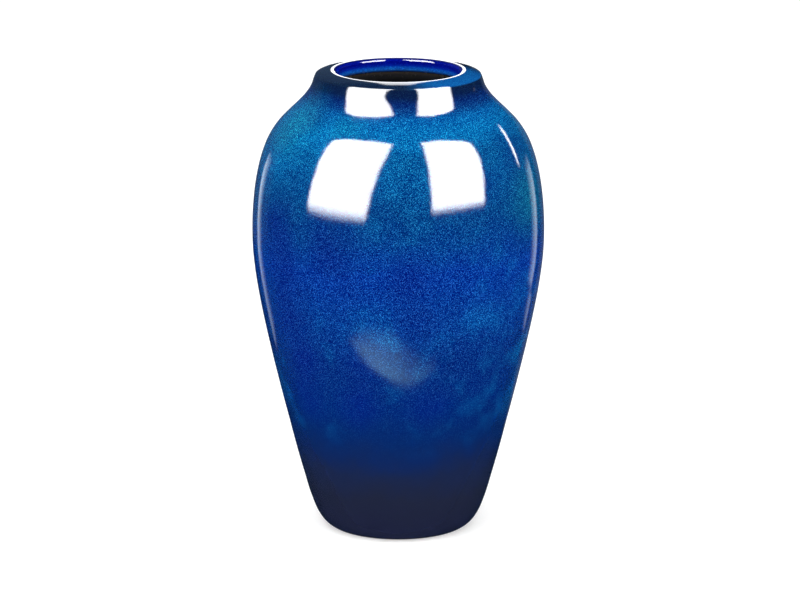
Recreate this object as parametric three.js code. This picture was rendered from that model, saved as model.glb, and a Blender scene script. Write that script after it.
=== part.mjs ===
// Stoneware vase: a thrown and turned clay body under three glaze coats.
// Millimetres, +Z up. The vase stands on z = 0 and its axis is Z.
// Every outline point is (radius, height).
import * as THREE from 'three';

// Driving dimensions
const HEIGHT = 300;
const FOOT_RADIUS = 44.3;
const BELLY_RADIUS = 94;
const BELLY_HEIGHT = 195;
const THROAT_RADIUS = 40.4; // where the blue glaze ends inside the neck
const THROAT_HEIGHT = 292.3;
const WALL = 9.5; // belly wall, with the glaze on both faces
const FLOOR_HEIGHT = 12.5; // glazed floor above the table
const FLOOR_RADIUS = 28; // flat middle of the floor

// Lip: a rounded outer corner, a sloping top, a nearly flat crest and a roll into a slightly undercut wall
const LIP_CORNER_CENTRE = new THREE.Vector2(51.65, 296.3);
const LIP_CORNER_RADIUS = 1.6;
const CREST_OUTER = new THREE.Vector2(44.6, HEIGHT - 0.12);
const CREST_INNER = new THREE.Vector2(42.9, HEIGHT);
const INNER_ROLL_WIDTH = 3.4;
const INNER_ROLL_DROP = 1.9;
const NECK_NORMAL = THREE.MathUtils.degToRad(13.5);
const LIP_TOP_NORMAL = THREE.MathUtils.degToRad(66);
const UPWARD = THREE.MathUtils.degToRad(90);
const UNDERCUT = THREE.MathUtils.degToRad(186);

// Foot ring, left bare where it meets the table
const FOOT_RING_OUTER = 42.8;
const FOOT_RING_INNER = 35.5;
const RECESS_RADIUS = 33.5;
const RECESS_DEPTH = 3;
const GLAZE_START = 0.05; // glaze edge, as a fraction of the foot curve

// Glaze coats
const GLAZE = 0.7;
const GAP = 0.3; // between a coat and the clay, and between two coats
const SEGMENTS = 40;

const BODY_STEPS = 9;
const BASE_COAT_STEPS = 1; // body steps that the base coat covers

const at = (radius, height) => new THREE.Vector2(radius, height);

// Points along a curve, from one fraction of it to another.
function sample(curve, from, to, steps) {
  return Array.from({ length: steps + 1 }, (_, i) => curve.getPoint(from + ((to - from) * i) / steps));
}

function arc(centre, radius, from, to, steps) {
  return ellipticArc(centre, radius, radius, from, to, steps);
}

function ellipticArc(centre, width, drop, from, to, steps) {
  return new THREE.EllipseCurve(centre.x, centre.y, width, drop, from, to, false).getPoints(steps);
}

// Joins runs of points, dropping the points that two runs share.
function join(...runs) {
  const shared = 0.01;
  return runs.flat().filter((point, i, all) => i === 0 || point.distanceTo(all[i - 1]) > shared);
}

// The same line, a distance deeper into the wall, which lies on the line's left.
function inset(line, distance) {
  return line.map((point, i) => {
    const along = line[Math.min(i + 1, line.length - 1)].clone().sub(line[Math.max(i - 1, 0)]).normalize();
    return at(point.x - along.y * distance, point.y + along.x * distance);
  });
}

// Moves the last point back along the line, to leave a gap before the next coat.
function trimEnd(line, gap) {
  const last = line.at(-1);
  const previous = line.at(-2);
  return [...line.slice(0, -1), last.clone().lerp(previous, gap / last.distanceTo(previous))];
}

// Glazed outside, from the foot up to the lip
const footCurve = new THREE.CubicBezierCurve(
  at(FOOT_RADIUS, 0),
  at(49.8, 3.3),
  at(53.7, 5.7),
  at(61.5, 34.7),
);
const bodyCurve = new THREE.CubicBezierCurve(
  at(61.5, 34.7),
  at(92.8, 150.5),
  at(BELLY_RADIUS, 177.6),
  at(BELLY_RADIUS, BELLY_HEIGHT),
);
const shoulderCurve = new THREE.CubicBezierCurve(
  at(BELLY_RADIUS, BELLY_HEIGHT),
  at(BELLY_RADIUS, 216.8),
  at(90.8, 250.1),
  at(76.7, 266),
);
const lipCorner = arc(LIP_CORNER_CENTRE, LIP_CORNER_RADIUS, NECK_NORMAL, LIP_TOP_NORMAL, 2);
const neckCurve = new THREE.CubicBezierCurve(
  at(76.7, 266),
  at(65.6, 278.5),
  at(56.5, 282.9),
  lipCorner[0],
);
const lipTopCurve = new THREE.QuadraticBezierCurve(
  lipCorner.at(-1),
  at(49.15, 299.2),
  CREST_OUTER,
);
const crestCurve = new THREE.QuadraticBezierCurve(
  CREST_OUTER,
  at(43.75, HEIGHT),
  CREST_INNER,
);
const innerRollCentre = at(CREST_INNER.x, HEIGHT - INNER_ROLL_DROP);
const innerRoll = ellipticArc(innerRollCentre, INNER_ROLL_WIDTH, INNER_ROLL_DROP, UPWARD, UNDERCUT, 6);
const throat = at(THROAT_RADIUS, THROAT_HEIGHT);
const innerWall = [0.12, 0.5, 1].map((share) => innerRoll.at(-1).clone().lerp(throat, share));
const foot = sample(footCurve, GLAZE_START, 1, 4);
const body = sample(bodyCurve, 0, 1, BODY_STEPS);
const shoulder = sample(shoulderCurve, 0, 1, 6);
const neck = sample(neckCurve, 0, 1, 5);

// Glazed inside, from the throat down to the middle of the floor
const innerBelly = BELLY_RADIUS - WALL;
const underLipCurve = new THREE.CubicBezierCurve(
  throat,
  at(41.5, 285.5),
  at(54, 276.5),
  at(66, 263.5),
);
const innerShoulderCurve = new THREE.CubicBezierCurve(
  at(66, 263.5),
  at(80, 248.3),
  at(innerBelly, 216),
  at(innerBelly, BELLY_HEIGHT),
);
const innerBodyCurve = new THREE.CubicBezierCurve(
  at(innerBelly, BELLY_HEIGHT),
  at(innerBelly, 177),
  at(81.5, 146.3),
  at(52, 37.2),
);
const innerFloorCurve = new THREE.CubicBezierCurve(
  at(52, 37.2),
  at(46.8, 17.9),
  at(40, FLOOR_HEIGHT),
  at(FLOOR_RADIUS, FLOOR_HEIGHT),
);
const inside = join(
  sample(underLipCurve, 0, 1, 4),
  sample(innerShoulderCurve, 0, 1, 4),
  sample(innerBodyCurve, 0, 1, 6),
  sample(innerFloorCurve, 0, 1, 4),
  [at(0, FLOOR_HEIGHT)],
);

// The whole glazed line, foot to lip to floor, the back of the glaze and the clay under it
const glazedToGlazeLine = join(foot, body.slice(0, BASE_COAT_STEPS + 1));
const glazedToThroat = join(
  glazedToGlazeLine,
  body.slice(BASE_COAT_STEPS),
  shoulder,
  neck,
  lipCorner,
  sample(lipTopCurve, 0, 1, 3),
  sample(crestCurve, 0, 1, 2),
  innerRoll,
  innerWall,
);
const glazeLine = glazedToGlazeLine.length - 1;
const throatLine = glazedToThroat.length - 1;
const glazeSurface = join(glazedToThroat, inside);
const glazeBack = inset(glazeSurface, GLAZE);
const claySurface = inset(glazeSurface, GLAZE + GAP);

// A band of glaze between two points of the line, stopping a gap short of the next band.
function bandSection(first, last) {
  const surface = trimEnd(glazeSurface.slice(first, last + 1), GAP);
  const back = trimEnd(glazeBack.slice(first, last + 1), GAP);
  return [...surface, ...back.reverse(), surface[0]];
}

// The liner reaches the axis, so its section starts and ends there.
function linerSection(first) {
  return [...glazeBack.slice(first).reverse(), ...glazeSurface.slice(first)];
}

function claySection() {
  const underside = [
    at(0, RECESS_DEPTH),
    at(RECESS_RADIUS, RECESS_DEPTH),
    at(FOOT_RING_INNER, 0),
    at(FOOT_RING_OUTER, 0),
  ];
  return [...underside, ...claySurface];
}

function turned(name, section, material) {
  const mesh = new THREE.Mesh(new THREE.LatheGeometry(section, SEGMENTS), material);
  mesh.name = name;
  return mesh;
}

const bareClay = new THREE.MeshStandardMaterial({ color: 0xa8967c, roughness: 0.9, metalness: 0 });
const mottledBlue = new THREE.MeshStandardMaterial({ color: 0x06429a, roughness: 0.08, metalness: 0 });
const navy = new THREE.MeshStandardMaterial({ color: 0x141a44, roughness: 0.1, metalness: 0 });
const darkLiner = new THREE.MeshStandardMaterial({ color: 0x1e1d1c, roughness: 0.2, metalness: 0 });

const vase = new THREE.Group();
vase.rotation.x = Math.PI / 2; // the lathe's axis, Y, becomes Z
vase.add(
  turned('clay_body', claySection(), bareClay),
  turned('base_glaze', bandSection(0, glazeLine), navy),
  turned('body_glaze', bandSection(glazeLine, throatLine), mottledBlue),
  turned('liner_glaze', linerSection(throatLine), darkLiner),
);

export default vase;
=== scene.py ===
"""Looks of a glazed stoneware vase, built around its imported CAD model. Metres, +Z up.

Each CAD solid is a coarse turned section. Its outline is read back, smoothed, turned again at a fine
step and given the detail of a thrown pot: a slight wobble, throwing rings inside, a rolled glaze edge
and trimming marks under the foot. The glazes are node materials that depend only on the place on the pot.
"""

import math

import bpy
import numpy as np
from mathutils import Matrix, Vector


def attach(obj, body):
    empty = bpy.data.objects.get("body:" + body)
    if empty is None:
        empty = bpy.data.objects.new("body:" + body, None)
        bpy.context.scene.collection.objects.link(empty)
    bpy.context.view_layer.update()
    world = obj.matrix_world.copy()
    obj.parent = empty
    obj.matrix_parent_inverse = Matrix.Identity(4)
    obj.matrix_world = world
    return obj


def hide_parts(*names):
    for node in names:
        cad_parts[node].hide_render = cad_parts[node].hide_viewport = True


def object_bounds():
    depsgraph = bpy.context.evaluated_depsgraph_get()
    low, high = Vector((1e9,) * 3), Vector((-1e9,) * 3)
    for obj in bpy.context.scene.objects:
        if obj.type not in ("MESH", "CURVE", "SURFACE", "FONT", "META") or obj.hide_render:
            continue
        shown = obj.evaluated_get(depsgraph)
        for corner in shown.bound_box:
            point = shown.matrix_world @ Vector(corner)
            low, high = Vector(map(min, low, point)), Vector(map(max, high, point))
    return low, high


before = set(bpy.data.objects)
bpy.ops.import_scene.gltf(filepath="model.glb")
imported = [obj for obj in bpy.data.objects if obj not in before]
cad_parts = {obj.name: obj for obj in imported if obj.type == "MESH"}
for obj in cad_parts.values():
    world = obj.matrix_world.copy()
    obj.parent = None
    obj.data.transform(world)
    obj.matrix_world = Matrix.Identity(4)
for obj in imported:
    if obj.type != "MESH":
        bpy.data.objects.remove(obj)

MM = 0.001
CAD_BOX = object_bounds()
HEIGHT = CAD_BOX[1].z

# Camera, fitted to the ellipses of the lip and the foot, in vase heights
CAMERA_DISTANCE = 8.667 * HEIGHT
CAMERA_HEIGHT = 2.648 * HEIGHT
CAMERA_SIDE = 1.14 * MM
CAMERA_PITCH = math.radians(13.952)
SENSOR_WIDTH = 36.0
LENS = 186.33

# Mesh fineness
SEGMENTS = 240
SURFACE_STEP = 1.5 * MM
HIDDEN_STEP = 6.0 * MM
CORNER_TURN = math.radians(50)  # a sharper turn than this is a corner of the outline
HIDDEN_UV_SHARE = 0.04
ROUNDING = 1e-6  # outline points are read to this
ON_AXIS = 1e-7  # a smaller radius than this is on the axis


# ---------------------------------------------------------------- outlines


def section(node):
    """A CAD node's outline in the half-plane y = 0, x >= 0.

    Gives its (radius, height) points, walked edge by edge, and whether the outline closes.
    """
    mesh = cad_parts[node].data
    place = {}
    for vertex in mesh.vertices:
        x, y, z = vertex.co
        if abs(y) < ROUNDING and x > -ROUNDING:
            place[vertex.index] = (round(x / ROUNDING), round(z / ROUNDING))
    beside = {}
    for edge in mesh.edges:
        a, b = (place.get(i) for i in edge.vertices)
        if a is not None and b is not None and a != b:
            beside.setdefault(a, set()).add(b)
            beside.setdefault(b, set()).add(a)
    ends = sorted(key for key, others in beside.items() if len(others) == 1)
    start = min(ends, key=lambda key: key[1]) if ends else min(beside, key=lambda key: (key[1], key[0]))
    line = [start]
    while True:
        walked = line[-2:] + line[1:]
        onward = [key for key in sorted(beside[line[-1]]) if key not in walked]
        if not onward or onward[0] == start:
            break
        line.append(onward[0])
    points = np.array(line, float) * ROUNDING
    if not ends and signed_area(points) < 0:
        points = points[::-1]
    return points, not ends


def signed_area(points):
    """Positive when the outline runs anticlockwise."""
    following = np.roll(points, -1, axis=0)
    return 0.5 * np.sum(points[:, 0] * following[:, 1] - following[:, 0] * points[:, 1])


def corner_indices(points, closed):
    """Where the outline turns sharply."""
    found = []
    count = len(points)
    for i in range(count):
        if not closed and i in (0, count - 1):
            continue
        before = points[i] - points[i - 1]
        after = points[(i + 1) % count] - points[i]
        cosine = before @ after / (np.linalg.norm(before) * np.linalg.norm(after))
        if math.acos(max(-1.0, min(1.0, cosine))) > CORNER_TURN:
            found.append(i)
    return found


def band_runs(node):
    """The surface and the back of a closed glaze band, both from its lower end to its upper end."""
    points, _ = section(node)
    corners = corner_indices(points, closed=True)
    runs = []
    for a, b in zip(corners, corners[1:] + [corners[0] + len(points)]):
        runs.append(points[np.arange(a, b + 1) % len(points)])
    runs.sort(key=run_length, reverse=True)
    surface, back = runs[0], runs[1]
    return surface, back[::-1]


def run_length(points):
    return float(np.sum(np.linalg.norm(np.diff(points, axis=0), axis=1)))


def smooth(points, step):
    """A smooth line through the points, at about one step apart: cubic pieces over the chord lengths."""
    chord = np.linalg.norm(np.diff(points, axis=0), axis=1)
    rate = np.diff(points, axis=0) / chord[:, None]
    tangent = np.empty_like(points)
    weighted = rate[:-1] * chord[1:, None] + rate[1:] * chord[:-1, None]
    tangent[1:-1] = weighted / (chord[:-1] + chord[1:])[:, None]
    tangent[0] = 2 * rate[0] - tangent[1] if len(points) > 2 else rate[0]
    tangent[-1] = 2 * rate[-1] - tangent[-2] if len(points) > 2 else rate[-1]
    rows = []
    for i, length in enumerate(chord):
        count = max(1, math.ceil(length / step))
        t = np.arange(count)[:, None] / count
        rows.append(
            (2 * t**3 - 3 * t**2 + 1) * points[i]
            + (t**3 - 2 * t**2 + t) * length * tangent[i]
            + (3 * t**2 - 2 * t**3) * points[i + 1]
            + (t**3 - t**2) * length * tangent[i + 1]
        )
    rows.append(points[-1:])
    return np.concatenate(rows)


def densified(points, step):
    """The same straight pieces, cut into steps."""
    rows = []
    for a, b in zip(points, points[1:]):
        count = max(1, math.ceil(np.linalg.norm(b - a) / step))
        rows.append(a + (b - a) * (np.arange(count)[:, None] / count))
    rows.append(points[-1:])
    return np.concatenate(rows)


def rolled(start, end, steps=6):
    """A half-round edge that bulges to the right of the way from start to end, its two ends left out."""
    centre, half = (start + end) / 2, (end - start) / 2
    bulge = np.array([half[1], -half[0]])
    angles = np.linspace(math.pi, 0, steps + 2)[1:-1, None]
    return centre + half * np.cos(angles) + bulge * np.sin(angles)


def eased(points, corners, reach, steps=5):
    """The line with each given corner rounded over a short reach on both sides."""
    longest_share = 0.45
    rows = []
    for i, point in enumerate(points):
        if i not in corners:
            rows.append(point[None])
            continue
        before, after = points[i - 1] - point, points[i + 1] - point
        a = point + before * min(longest_share, reach / np.linalg.norm(before))
        b = point + after * min(longest_share, reach / np.linalg.norm(after))
        t = np.linspace(0, 1, steps)[:, None]
        rows.append((1 - t) ** 2 * a + 2 * t * (1 - t) * point + t**2 * b)
    return np.concatenate(rows)


def line_normals(points):
    """Unit normals to the right of the line's way, which is out of the clay."""
    along = np.gradient(points, axis=0)
    along /= np.linalg.norm(along, axis=1)[:, None]
    return np.stack([along[:, 1], -along[:, 0]], axis=1)


# ---------------------------------------------------------------- turned solids


def wobble(angle, height):
    """How far the thrown wall strays from a true circle, in metres. It dies away at the foot and the lip."""
    foot_fade, lip_fade = 20 * MM, 25 * MM
    oval = 0.10 * np.sin(2 * angle + height / (60 * MM))
    three_sided = 0.06 * np.sin(3 * angle - height / (38 * MM) + 1.3)
    rings = 0.008 * np.sin(height / (3.1 * MM) + angle)
    fade = np.clip(height / foot_fade, 0, 1) * np.clip((HEIGHT - height) / lip_fade, 0, 1)
    return (oval + three_sided + rings) * MM * fade


def turned(name, line, closed, seen, relief=None):
    """A solid of revolution. seen tells which steps of the line show. relief moves points along normals."""
    angles = np.arange(SEGMENTS) * (2 * math.pi / SEGMENTS)
    normals = line_normals(line)
    vertices, row_start = [], []
    for i, (radius, height) in enumerate(line):
        row_start.append(len(vertices))
        if radius < ON_AXIS:
            vertices.append((0.0, 0.0, height))
            continue
        lift = relief(angles, radius, height) if relief else 0.0
        radii = radius + wobble(angles, height) + normals[i, 0] * lift
        heights = height + normals[i, 1] * lift + np.zeros(SEGMENTS)
        vertices.extend(zip(radii * np.sin(angles), -radii * np.cos(angles), heights))
    faces, uvs = turned_faces(line, closed, seen, row_start)
    mesh = bpy.data.meshes.new(name)
    mesh.from_pydata(vertices, [], faces)
    layer = mesh.uv_layers.new(name="OFBake")
    layer.data.foreach_set("uv", np.array(uvs, np.float32).ravel())
    mesh.shade_smooth()
    mesh.set_sharp_from_angle(angle=CORNER_TURN)
    mesh.validate()
    piece = bpy.data.objects.new(name, mesh)
    bpy.context.scene.collection.objects.link(piece)
    return piece


def turned_faces(line, closed, seen, row_start):
    """The faces between the rows, and their unrolled texture places, with little room for hidden rows."""
    count = len(line)
    lengths = np.linalg.norm(np.diff(np.vstack([line, line[:1]]), axis=0), axis=1)
    if not closed:
        lengths = lengths[:-1]
    weights = lengths * np.where(seen[: len(lengths)], 1.0, HIDDEN_UV_SHARE)
    tops = np.concatenate([[0.0], np.cumsum(weights)]) / weights.sum()
    faces, uvs = [], []
    for i in range(len(lengths)):
        low, high = i, (i + 1) % count
        low_axis, high_axis = line[low, 0] < ON_AXIS, line[high, 0] < ON_AXIS
        for j in range(SEGMENTS):
            k = (j + 1) % SEGMENTS
            left, right = j / SEGMENTS, (j + 1) / SEGMENTS
            corners = []
            corners.append((row_start[low] + (0 if low_axis else j), left, tops[i]))
            if not low_axis:
                corners.append((row_start[low] + k, right, tops[i]))
            if not high_axis:
                corners.append((row_start[high] + k, right, tops[i + 1]))
            corners.append((row_start[high] + (0 if high_axis else j), left, tops[i + 1]))
            faces.append([corner[0] for corner in corners])
            uvs.extend((corner[1], corner[2]) for corner in corners)
    return faces, uvs


def finish_piece(piece, node, material):
    piece.data.materials.append(material)
    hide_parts(node)
    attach(piece, "root")


# ---------------------------------------------------------------- node helpers


class Graph:
    """A material's nodes, made one call at a time. Inputs are sockets or plain values."""

    def __init__(self, name):
        self.material = bpy.data.materials.new(name)
        self.material.use_nodes = True
        self.tree = self.material.node_tree
        self.tree.nodes.clear()
        place = self.add("ShaderNodeTexCoord").outputs["Object"]
        self.mm = self.vector("SCALE", place, Scale=1 / MM)
        self.xyz = self.add("ShaderNodeSeparateXYZ", Vector=self.mm).outputs

    def add(self, kind, settings=None, **inputs):
        node = self.tree.nodes.new(kind)
        for key, value in (settings or {}).items():
            setattr(node, key, value)
        for key, value in inputs.items():
            self.feed(node.inputs[key.replace("_", " ")], value)
        return node

    def feed(self, socket, value):
        if isinstance(value, bpy.types.NodeSocket):
            self.tree.links.new(value, socket)
        else:
            socket.default_value = value

    def math(self, operation, *values, clamp=False):
        node = self.add("ShaderNodeMath", {"operation": operation, "use_clamp": clamp})
        for socket, value in zip(node.inputs, values):
            self.feed(socket, value)
        return node.outputs[0]

    def vector(self, operation, *values, **named):
        node = self.add("ShaderNodeVectorMath", {"operation": operation}, **named)
        for socket, value in zip(node.inputs, values):
            self.feed(socket, value)
        return node.outputs["Value" if operation in ("DISTANCE", "LENGTH") else "Vector"]

    def ramp(self, value, start, end, low=0.0, high=1.0):
        """low at start, high at end, and a smooth step between them."""
        node = self.add("ShaderNodeMapRange", {"interpolation_type": "SMOOTHSTEP"}, Value=value)
        for key, number in (("From Min", start), ("From Max", end), ("To Min", low), ("To Max", high)):
            node.inputs[key].default_value = number
        return node.outputs["Result"]

    def stops(self, value, stops):
        """A colour that follows a value through (value, colour) stops, in rising order."""
        low, high = stops[0][0], stops[-1][0]
        node = self.add("ShaderNodeValToRGB")
        self.feed(node.inputs["Fac"], self.math("DIVIDE", self.math("SUBTRACT", value, low), high - low))
        elements = node.color_ramp.elements
        while len(elements) < len(stops):
            elements.new(1.0)
        for element, (place, colour) in zip(elements, stops):
            element.position = (place - low) / (high - low)
            element.color = rgb(*colour)
        return node.outputs["Color"]

    def noise(self, size_mm, detail=2.0, roughness=0.5, distortion=0.0, place=None):
        """Noise of about 0 to 1, with features of a given size."""
        node = self.add("ShaderNodeTexNoise", {"noise_dimensions": "3D"}, Vector=place or self.mm)
        node.inputs["Scale"].default_value = 1 / size_mm
        node.inputs["Detail"].default_value = detail
        node.inputs["Roughness"].default_value = roughness
        node.inputs["Distortion"].default_value = distortion
        return node.outputs["Fac"]

    def mix(self, factor, a, b, blend="MIX"):
        """A colour mix. The node has unused sockets of other types, so its colour sockets go by number."""
        node = self.add("ShaderNodeMix", {"data_type": "RGBA", "blend_type": blend})
        for index, value in ((0, factor), (6, a), (7, b)):
            self.feed(node.inputs[index], value)
        return node.outputs[2]

    def total(self, *values):
        result = values[0]
        for value in values[1:]:
            result = self.math("ADD", result, value)
        return result

    def bump(self, height, distance_mm, normal=None):
        node = self.add("ShaderNodeBump", Height=height)
        node.inputs["Strength"].default_value = 1.0
        node.inputs["Distance"].default_value = distance_mm * MM
        if normal is not None:
            self.feed(node.inputs["Normal"], normal)
        return node.outputs["Normal"]

    def shade(self, colour, roughness, normal, **constants):
        shader = self.add("ShaderNodeBsdfPrincipled")
        self.feed(shader.inputs["Base Color"], colour)
        self.feed(shader.inputs["Roughness"], roughness)
        self.feed(shader.inputs["Normal"], normal)
        for key, value in constants.items():
            shader.inputs[key.replace("_", " ")].default_value = value
        output = self.add("ShaderNodeOutputMaterial")
        self.tree.links.new(shader.outputs[0], output.inputs["Surface"])
        return self.material


def rgb(red, green, blue):
    """A display colour of 0 to 255 as a linear one."""
    channels = (value / 255 for value in (red, green, blue))
    linear = [c / 12.92 if c <= 0.04045 else ((c + 0.055) / 1.055) ** 2.4 for c in channels]
    return (*linear, 1.0)


# ---------------------------------------------------------------- glazes

# Glaze colour up the outside: height in mm and display colour
BODY_STOPS = (
    (10, (27, 31, 54)),
    (30, (28, 33, 54)),
    (48, (23, 34, 67)),
    (60, (13, 34, 83)),
    (72, (4, 35, 94)),
    (95, (0, 36, 107)),
    (126, (0, 38, 115)),
    (155, (0, 48, 132)),
    (185, (0, 47, 143)),
    (210, (0, 55, 129)),
    (225, (1, 61, 128)),
    (245, (1, 75, 143)),
    (258, (1, 79, 144)),
    (272, (1, 101, 173)),
    (280, (1, 84, 160)),
    (284, (2, 51, 124)),
    (288, (2, 34, 104)),
    (292, (6, 27, 71)),
    (296.6, (10, 28, 64)),
)

# The same down the inside of the neck
INNER_STOPS = (
    (292.4, (30, 122, 240)),
    (293.6, (24, 116, 246)),
    (295.0, (4, 52, 214)),
    (296.6, (1, 18, 188)),
    (298.6, (1, 14, 160)),
    (299.6, (4, 12, 104)),
)

# The same at the top of the liner. Its grey is painted darker down into the pot, as shade; higher up it
# turns brown and then azure where the two glazes run together
LINER_STOPS = (
    (284.0, (58, 59, 60)),
    (288.4, (72, 72, 72)),
    (290.2, (96, 84, 74)),
    (291.0, (20, 40, 60)),
    (291.5, (24, 96, 190)),
    (292.3, (30, 122, 240)),
)

# Mottling: azimuth in degrees (0 faces -Y, 90 faces +X), height in mm, reach in mm, and an amount, which is
# above zero where the glaze is lighter and below zero where it is darker
PATCHES = (
    (-58, 262, 30, 0.20),
    (-35, 268, 30, 0.15),
    (60, 262, 28, -0.20),
    (-62, 240, 32, 0.15),
    (0, 245, 28, 0.05),
    (30, 240, 28, -0.55),
    (62, 235, 34, -0.75),
    (-55, 208, 34, -0.70),
    (-28, 205, 28, -0.60),
    (0, 210, 28, 0.05),
    (62, 205, 30, -0.40),
    (-50, 180, 30, -0.50),
    (-25, 182, 26, -0.30),
    (4, 184, 24, -0.50),
    (60, 178, 28, 0.10),
    (-52, 150, 28, -0.60),
    (8, 155, 22, -0.40),
    (38, 157, 24, 0.15),
    (64, 152, 26, -0.10),
    (-45, 124, 26, -0.70),
    (-15, 128, 24, -0.50),
    (15, 124, 24, 0.05),
    (42, 126, 24, 0.05),
    (66, 122, 24, 0.20),
    (-48, 96, 24, -0.45),
    (-20, 98, 24, -0.50),
    (14, 98, 24, -0.40),
    (45, 96, 22, 0.10),
    (68, 94, 22, 0.25),
    (-50, 277, 20, -0.45),
    (140, 250, 50, 0.20),
    (170, 190, 46, -0.30),
    (-135, 215, 44, 0.20),
    (-120, 160, 40, -0.25),
    (110, 165, 40, 0.25),
    (-165, 130, 36, 0.25),
    (150, 110, 30, -0.20),
)

# Where the glaze leans to teal, in the same terms
TEAL_PATCHES = (
    (-64, 272, 34, 0.45),
    (-28, 274, 20, 0.25),
    (66, 226, 38, 0.45),
    (150, 240, 46, 0.40),
)

# What the patches and the lip lean to
LIGHT = rgb(12, 122, 196)
DARK = rgb(1, 26, 118)
TEAL = rgb(14, 116, 146)
LIP_AZURE = rgb(12, 88, 162)
LIP_NAVY = rgb(18, 34, 64)

# Middle of the azure on the lip, and how far it reaches in full and at all, in mm
AZURE_PLACE = (40.0, -28.0, 298.0)
AZURE_REACH = (20, 46)

# Spans over which the glaze changes: heights up the outside, and radii across the crest of the lip, in mm
MOTTLING_STARTS = (58, 92)
MOTTLING_ENDS = (290, 276)
EDGES_STEADY = (262, 282)
LIP_STARTS = (296.2, 297.2)
CREST_RADII = (42.6, 41.4)
SPECKLE_STARTS = (50, 150)
SPECKLE_WEAKENS = (283, 294)

# How far the noises push the colour changes up or down, in mm, and how much they lighten or darken
CLOUD_PUSH, BROAD_PUSH = 14.0, 18.0
CLOUD_SWING, BROAD_SWING = 0.55, 0.4

# What a light and a dark speck do to the glaze colour
SPECK_GAIN = (2.0, 4.4, 2.5, 1.0)
SPECK_LIFT = (0.020, 0.045, 0.030, 0.0)
SPECK_SHADE = (0.2, 0.2, 0.45, 1.0)


def patch_sum(graph, outer, patches):
    """The sum of the patches at a place."""
    terms = []
    for azimuth, height, reach, amount in patches:
        radius = float(np.interp(height * MM, outer[:, 1], outer[:, 0])) / MM
        angle = math.radians(azimuth)
        centre = (radius * math.sin(angle), -radius * math.cos(angle), height)
        distance = graph.vector("DISTANCE", graph.mm, centre)
        terms.append(graph.ramp(distance, 0.0, reach, amount, 0.0))
    return graph.total(*terms)


def swing(graph, noise, amount):
    """A noise as a push of up to about half the amount either way."""
    return graph.math("MULTIPLY", graph.math("SUBTRACT", noise, 0.5), amount)


def vase_glaze(name, outer):
    """Mottled, speckled blue that deepens down the pot and ends in plain navy."""
    graph = Graph(name)
    height = graph.xyz["Z"]
    across = graph.add("ShaderNodeCombineXYZ", X=graph.xyz["X"], Y=graph.xyz["Y"]).outputs[0]
    radius = graph.vector("LENGTH", across)
    broad = graph.noise(size_mm=36, detail=2.0, roughness=0.5, distortion=0.3)
    cloud = graph.noise(size_mm=15, detail=2.5, roughness=0.5)

    # Colour by height, with an uneven edge to each change, steadier towards the neck
    uneven = graph.ramp(height, *EDGES_STEADY, 1.0, 0.15)
    push = graph.total(swing(graph, cloud, CLOUD_PUSH), swing(graph, broad, BROAD_PUSH))
    place = graph.math("ADD", height, graph.math("MULTIPLY", push, uneven))
    colour = graph.stops(place, BODY_STOPS)

    # Lighter and darker clouds, which fade out towards the navy and the neck
    spread = graph.math("MULTIPLY", graph.ramp(height, *MOTTLING_STARTS), graph.ramp(height, *MOTTLING_ENDS))
    drift = swing(graph, cloud, CLOUD_SWING), swing(graph, broad, BROAD_SWING)
    clouds = graph.math("MULTIPLY", graph.total(patch_sum(graph, outer, PATCHES), *drift), spread)
    colour = graph.mix(graph.math("MULTIPLY", clouds, 1.0, clamp=True), colour, LIGHT)
    colour = graph.mix(graph.math("MULTIPLY", clouds, -1.0, clamp=True), colour, DARK)
    colour = graph.mix(patch_sum(graph, outer, TEAL_PATCHES), colour, TEAL)

    # The lip: azure on one side, navy round the rest
    from_azure = graph.vector("DISTANCE", graph.mm, AZURE_PLACE)
    lip = graph.mix(graph.ramp(from_azure, *AZURE_REACH, 1.0, 0.0), LIP_NAVY, LIP_AZURE)
    colour = graph.mix(graph.ramp(height, *LIP_STARTS), colour, lip)

    # Inside the neck
    inner = graph.stops(graph.math("ADD", height, swing(graph, cloud, 0.9)), INNER_STOPS)
    colour = graph.mix(graph.ramp(radius, *CREST_RADII), colour, inner)

    # Speckle, which fades out towards the navy and is weaker on the lip
    grain = graph.noise(size_mm=0.54, detail=1.0, roughness=0.7)
    fade = graph.math(
        "MULTIPLY", graph.ramp(height, *SPECKLE_STARTS), graph.ramp(height, *SPECKLE_WEAKENS, 1.0, 0.35)
    )
    bright = graph.math("MULTIPLY", graph.ramp(grain, 0.57, 0.66), fade)
    dark = graph.math("MULTIPLY", graph.ramp(grain, 0.54, 0.38), fade)
    light_speck = graph.mix(1.0, colour, SPECK_GAIN, blend="MULTIPLY")
    light_speck = graph.mix(1.0, light_speck, SPECK_LIFT, blend="ADD")
    dark_speck = graph.mix(1.0, colour, SPECK_SHADE, blend="MULTIPLY")
    colour = graph.mix(bright, colour, light_speck)
    colour = graph.mix(dark, colour, dark_speck)

    # Orange peel over a slow ripple
    peel = graph.noise(size_mm=0.9, detail=2.0, roughness=0.6)
    ripple = graph.noise(size_mm=9.0, detail=1.0, roughness=0.4)
    normal = graph.bump(ripple, 0.008, graph.bump(peel, 0.024))
    return graph.shade(colour, graph.ramp(cloud, 0.3, 0.7, 0.03, 0.05), normal, IOR=1.5)


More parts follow.
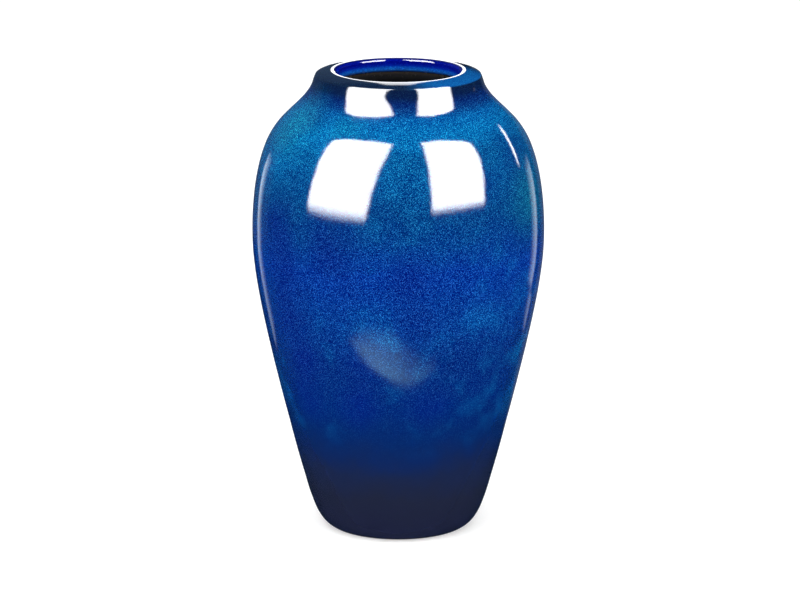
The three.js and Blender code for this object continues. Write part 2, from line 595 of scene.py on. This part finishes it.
def liner_glaze(name):
    """Dark grey, painted darker down into the pot as shade, with paler clouds, which turns brown and then
    azure where it meets the blue glaze.
    """
    graph = Graph(name)
    cloud = graph.noise(size_mm=7, detail=4.0, roughness=0.6)
    place = graph.math("ADD", graph.xyz["Z"], swing(graph, cloud, 0.8))
    # the grey's darkening down into the pot is painted shade; the brown and the azure are where the glazes
    # meet
    colour = graph.stops(place, LINER_STOPS)
    colour = graph.mix(graph.math("MULTIPLY", graph.ramp(cloud, 0.35, 0.7), 0.25), colour, rgb(34, 31, 29))
    normal = graph.bump(graph.noise(size_mm=1.8, detail=2.0), 0.02)
    return graph.shade(colour, graph.ramp(cloud, 0.3, 0.7, 0.16, 0.30), normal, IOR=1.5)


def bare_clay(name):
    """Fired stoneware: warm grey buff, with grog and iron specks."""
    graph = Graph(name)
    tone = graph.noise(size_mm=6, detail=4.0, roughness=0.6)
    colour = graph.mix(tone, rgb(146, 126, 102), rgb(186, 166, 138))
    iron_spacing = 2.2
    specks = graph.add("ShaderNodeTexVoronoi", Vector=graph.mm)
    specks.inputs["Scale"].default_value = 1 / iron_spacing
    iron = graph.ramp(specks.outputs["Distance"], 0.10, 0.22, 1.0, 0.0)
    colour = graph.mix(graph.math("MULTIPLY", iron, 0.75), colour, rgb(78, 54, 38))
    grog = graph.noise(size_mm=0.5, detail=3.0, roughness=0.7)
    colour = graph.mix(graph.math("MULTIPLY", graph.ramp(grog, 0.55, 0.7), 0.5), colour, rgb(206, 192, 168))
    normal = graph.bump(grog, 0.12, graph.bump(tone, 0.2))
    return graph.shade(colour, graph.ramp(grog, 0.3, 0.7, 0.78, 0.92), normal, IOR=1.45)


# ---------------------------------------------------------------- the vase


def build_vase():
    base_surface, base_back = band_runs("base_glaze")
    body_surface, body_back = band_runs("body_glaze")
    liner_points, _ = section("liner_glaze")
    clay_points, _ = section("clay_body")

    # The liner runs from the axis out under the floor, up its back, over its upper end and down its surface
    top = corner_indices(liner_points, closed=False)
    liner_back, liner_surface = liner_points[: top[0] + 1], liner_points[top[-1] :]

    # Each coat runs on to meet the next one
    base_surface = np.vstack([base_surface[:-1], body_surface[:1]])
    base_back = np.vstack([base_back[:-1], body_back[:1]])
    body_surface = np.vstack([body_surface[:-1], liner_surface[:1]])
    body_back = np.vstack([body_back[:-1], liner_back[-1:]])
    outer = np.vstack([base_surface, body_surface[1:]])
    outer = outer[: int(np.argmax(outer[:, 1])) + 1]

    base = turned("base_glaze_coat", *coat_outline(base_surface, base_back, roll_start=True))
    body = turned("body_glaze_coat", *coat_outline(body_surface, body_back, roll_start=False))
    finish_piece(base, "base_glaze", vase_glaze("navy_glaze", outer))
    finish_piece(body, "body_glaze", vase_glaze("blue_glaze", outer))

    liner = turned("liner_glaze_coat", *liner_outline(liner_back, liner_surface), relief=throwing_rings)
    finish_piece(liner, "liner_glaze", liner_glaze("liner_glaze"))

    clay = turned("clay_body_stoneware", *clay_outline(clay_points), relief=turning_marks)
    finish_piece(clay, "clay_body", bare_clay("bare_stoneware"))


def coat_outline(surface, back, roll_start):
    """A coat's closed outline: its fine surface, its coarse back, and a rolled lower edge if asked."""
    front, rear = smooth(surface, SURFACE_STEP), smooth(back, HIDDEN_STEP)[::-1]
    parts = [front, rear]
    seen = np.concatenate([np.ones(len(front) - 1, bool), np.zeros(len(rear) + 1, bool)])
    if roll_start:
        edge = rolled(rear[-1], front[0])
        parts.append(edge)
        seen = np.concatenate([seen[:-1], np.ones(len(edge) + 1, bool)])
    return np.concatenate(parts), True, seen


def liner_outline(back, surface):
    """The liner from the axis, up its coarse back and down its fine surface to the axis again."""
    rear, front = smooth(back, HIDDEN_STEP), smooth(surface, SURFACE_STEP)
    seen = np.concatenate([np.zeros(len(rear), bool), np.ones(len(front) - 1, bool)])
    return np.concatenate([rear, front]), False, seen


def clay_outline(points):
    """The bare underside finely, and the clay under the glaze coarsely."""
    corner_reach, underside_step = 0.8 * MM, 0.5 * MM
    recess_corner = 1
    ring_start = int(np.argmax(points[:, 1] < ROUNDING))
    ring_end = ring_start + 1
    rounded = eased(points[: ring_end + 2], (recess_corner, ring_start, ring_end), corner_reach)
    underside = densified(rounded, underside_step)
    glazed = smooth(points[ring_end + 1 :], HIDDEN_STEP)
    line = np.concatenate([underside, glazed[1:]])
    seen = np.arange(len(line)) < len(underside) - 1
    return line, False, seen


def throwing_rings(angles, radius, height):
    """Finger grooves that climb the inside in a spiral, and die away below the throat."""
    pitch, depth = 8.5 * MM, 0.22 * MM
    end, fade = HEIGHT - 12 * MM, 20 * MM
    strength = min(1.0, max(0.0, (end - height) / fade))
    return depth * strength * np.sin(2 * math.pi * height / pitch + angles)


def turning_marks(angles, radius, height):
    """Fine grooves that the turning tool leaves in the recess under the foot."""
    pitch, depth = 1.7 * MM, 0.07 * MM
    recess_radius, recess_top = 33 * MM, 4 * MM
    if height > recess_top or radius > recess_radius:
        return 0.0
    return depth * np.sin(2 * math.pi * radius / pitch + angles)


# ---------------------------------------------------------------- stage


def make_camera():
    data = bpy.data.cameras.new("camera")
    data.sensor_width = SENSOR_WIDTH
    data.lens = LENS
    data.clip_end = 50
    camera = bpy.data.objects.new("camera", data)
    camera.location = (CAMERA_SIDE, -CAMERA_DISTANCE, CAMERA_HEIGHT)
    camera.rotation_euler = (math.pi / 2 - CAMERA_PITCH, 0, 0)
    bpy.context.scene.collection.objects.link(camera)
    bpy.context.scene.camera = camera


def make_floor():
    """A plain white floor, which the glaze doesn't mirror."""
    half = 12.0
    corners = [(-half, -half, 0), (half, -half, 0), (half, half, 0), (-half, half, 0)]
    mesh = bpy.data.meshes.new("floor")
    mesh.from_pydata(corners, [], [(0, 1, 2, 3)])
    floor = bpy.data.objects.new("floor", mesh)
    material = bpy.data.materials.new("floor")
    material.use_nodes = True
    shader = material.node_tree.nodes["Principled BSDF"]
    shader.inputs["Base Color"].default_value = (0.7, 0.7, 0.7, 1)
    shader.inputs["Emission Color"].default_value = (1, 1, 1, 1)
    shader.inputs["Emission Strength"].default_value = 0.4
    shader.inputs["Roughness"].default_value = 0.9
    mesh.materials.append(material)
    floor.visible_glossy = False
    floor.visible_shadow = False
    bpy.context.scene.collection.objects.link(floor)


PIVOT = Vector((0, 0, 0.2))  # the lights are placed round this point
FAR = 1.2
NEAR = 0.14
BOX_GLOW = 26  # radiance of the softboxes
COOL = (0.82, 0.96, 1.06)

# Light that the table throws back in front of the vase: x, far y, near y, and the glow at each of them
TABLE_PATCH = (
    (-0.182, -0.224, -0.222, 0.5, 1.2),
    (-0.140, -0.267, -0.222, 0.5, 1.9),
    (-0.104, -0.287, -0.222, 0.4, 2.5),
    (-0.055, -0.297, -0.220, 0.4, 2.7),
    (-0.012, -0.300, -0.214, 0.3, 2.3),
    (0.036, -0.272, -0.208, 0.1, 1.5),
    (0.075, -0.242, -0.206, 0.2, 1.1),
    (0.124, -0.215, -0.206, 0.2, 0.5),
)


def spot(azimuth, elevation, distance=FAR):
    """A place by its direction and distance from the pivot. Azimuth 0 is the camera's side."""
    a, e = math.radians(azimuth), math.radians(elevation)
    return PIVOT + distance * Vector((math.sin(a) * math.cos(e), -math.cos(a) * math.cos(e), math.sin(e)))


def card(name, rows, colour=(1.0, 1.0, 1.0)):
    """A glowing sheet that shows only in the glaze. Each row holds its corners as (place, radiance)."""
    width = len(rows[0])
    corners = [corner for row in rows for corner in row]
    faces = []
    for i in range(len(rows) - 1):
        for j in range(width - 1):
            k = i * width + j
            faces.append((k, k + 1, k + width + 1, k + width))
    mesh = bpy.data.meshes.new(name)
    mesh.from_pydata([place for place, _ in corners], [], faces)
    mesh.attributes.new("glow", "FLOAT", "POINT").data.foreach_set("value", [glow for _, glow in corners])
    material = bpy.data.materials.new(name)
    material.use_nodes = True
    nodes, links = material.node_tree.nodes, material.node_tree.links
    nodes.clear()
    glow = nodes.new("ShaderNodeAttribute")
    glow.attribute_name = "glow"
    emission = nodes.new("ShaderNodeEmission")
    emission.inputs["Color"].default_value = (*colour, 1)
    see_through = nodes.new("ShaderNodeBsdfTransparent")
    both = nodes.new("ShaderNodeAddShader")
    output = nodes.new("ShaderNodeOutputMaterial")
    links.new(glow.outputs["Fac"], emission.inputs["Strength"])
    links.new(emission.outputs[0], both.inputs[0])
    links.new(see_through.outputs[0], both.inputs[1])
    links.new(both.outputs[0], output.inputs["Surface"])
    mesh.materials.append(material)
    sheet = bpy.data.objects.new(name, mesh)
    for ray in ("camera", "diffuse", "transmission", "volume_scatter", "shadow"):
        setattr(sheet, "visible_" + ray, False)
    bpy.context.scene.collection.objects.link(sheet)


def box_rows(*levels, distance=FAR):
    """Rows of a softbox: its left and right azimuth and elevation at each level, and the radiance there."""
    return [[(spot(*left, distance), glow), (spot(*right, distance), glow)] for left, right, glow in levels]


def strip_rows(azimuths, shares, *levels):
    """Rows of a strip light: an elevation, a radiance and a shift in azimuth at each level."""
    rows = []
    for elevation, glow, shift in levels:
        rows.append([(spot(a + shift, elevation), glow * share) for a, share in zip(azimuths, shares)])
    return rows


def make_cards():
    # Two large softboxes in front, each fading out at its bottom and top edges
    card("box_left", box_rows(
        ((-73, 0.5), (-25, 1.5), 0.0),
        ((-73.5, 5.0), (-24, 5.0), BOX_GLOW),
        ((-72.5, 20), (-18.5, 24), BOX_GLOW),
        ((-76.5, 35), (-16, 36), BOX_GLOW),
        ((-82, 46), (-13.5, 50), BOX_GLOW),
        ((-88, 53), (-12, 58), BOX_GLOW),
        ((-80, 60), (-11, 64), BOX_GLOW),
        ((-55, 66.5), (-10.5, 67), BOX_GLOW),
        ((-53, 69), (-10, 69.5), 0.0),
    ))
    card("box_right", box_rows(
        ((26, 4.5), (70, 3.0), 0.0),
        ((26.3, 7.0), (70.5, 5.5), BOX_GLOW),
        ((26.7, 22), (78, 28), BOX_GLOW),
        ((28, 40), (83.5, 40), BOX_GLOW),
        ((30.5, 52), (88, 47), BOX_GLOW),
        ((35, 61), (84, 53), BOX_GLOW),
        ((38, 66.5), (70, 61.5), BOX_GLOW),
        ((38.5, 68.5), (69, 63.5), 0.0),
    ))

    # Narrow strips behind, which draw the lines beside the outline
    card("strip_left", strip_rows(
        (-142.5, -140, -132), (1.0, 0.8, 0.0),
        (-24.8, 0.0, 0),
        (-24, 0.9, 0),
        (-19, 1.2, 0),
        (-12, 1.8, 0),
        (-5, 2.6, 0),
        (1, 2.4, 2),
        (5.5, 0.0, 4),
    ), colour=COOL)
    card("strip_right", strip_rows(
        (137, 133, 126), (1.0, 0.8, 0.1),
        (-20, 1.5, 0),
        (-12, 1.8, 0),
        (-5, 2.1, 0),
        (1, 1.7, 0),
        (5, 0.0, 0),
    ), colour=COOL)
    card("strip_right_low", strip_rows(
        (142, 138, 132), (1.0, 0.9, 0.1),
        (-24, 0.0, 0),
        (-23, 0.7, 0),
        (-20.5, 0.8, 0),
    ), colour=COOL)

    # A thin light close beside the shoulder, where the neck and the lip don't mirror it
    card("flick_right", box_rows(
        ((85.3, 21.0), (86.2, 21.0), 0.0),
        ((85.0, 23.4), (86.8, 22.9), 8.0),
        ((84.6, 28.6), (86.7, 28.0), 14.0),
        ((85.9, 34.6), (87.8, 33.8), 16.0),
        ((88.1, 39.3), (89.9, 38.4), 16.0),
        ((90.7, 42.6), (92.6, 41.8), 14.0),
        ((92.4, 44.3), (93.9, 43.6), 8.0),
        ((93.8, 45.3), (94.6, 44.8), 0.0),
        distance=NEAR,
    ))

    # A strip right behind, seen along the crest of the lip
    card("strip_back", box_rows(
        ((176.5, -12), (183.5, -12), 4.0),
        ((176.5, 43), (183.5, 43), 4.0),
        ((176.5, 46), (183.5, 46), 0.0),
    ))

    # Dim panels behind, to the left and to the right
    card("panel_left", box_rows(
        ((-176, -12), (-120, -12), 0.08),
        ((-176, 40), (-120, 40), 0.10),
    ), colour=(0.5, 0.72, 1.0))
    card("panel_right", box_rows(
        ((148, -25), (174, -25), 0.10),
        ((148, 8), (174, 8), 0.10),
    ), colour=(0.7, 0.85, 1.0))

    card("table_patch", [
        [(Vector((x, far, MM)), glow) for x, far, _, glow, _ in TABLE_PATCH],
        [(Vector((x, near, MM)), glow) for x, _, near, _, glow in TABLE_PATCH],
    ], colour=(0.6, 1.2, 1.25))


def make_fill():
    """An overhead light that only lights the pot and the floor."""
    data = bpy.data.lights.new("fill_top", "AREA")
    data.size = 1.2
    data.energy = 7.0
    light = bpy.data.objects.new("fill_top", data)
    light.location = (0, -0.3, 1.7)
    light.visible_camera = False
    light.visible_glossy = False
    bpy.context.scene.collection.objects.link(light)


def make_world():
    """White for the camera, soft white for light, dark slate for reflections."""
    world = bpy.data.worlds.new("studio")
    bpy.context.scene.world = world
    world.use_nodes = True
    nodes, links = world.node_tree.nodes, world.node_tree.links
    background = nodes["Background"]
    path = nodes.new("ShaderNodeLightPath")
    mix = nodes.new("ShaderNodeMix")
    mix.data_type = "RGBA"
    mix.inputs[6].default_value = (1.0, 1.0, 1.0, 1)
    mix.inputs[7].default_value = (0.004, 0.012, 0.026, 1)
    links.new(path.outputs["Is Glossy Ray"], mix.inputs[0])
    links.new(mix.outputs[2], background.inputs["Color"])
    background.inputs["Strength"].default_value = 1.0


bpy.context.scene.view_settings.view_transform = "Standard"
make_camera()
make_world()
make_floor()
make_cards()
make_fill()
build_vase()
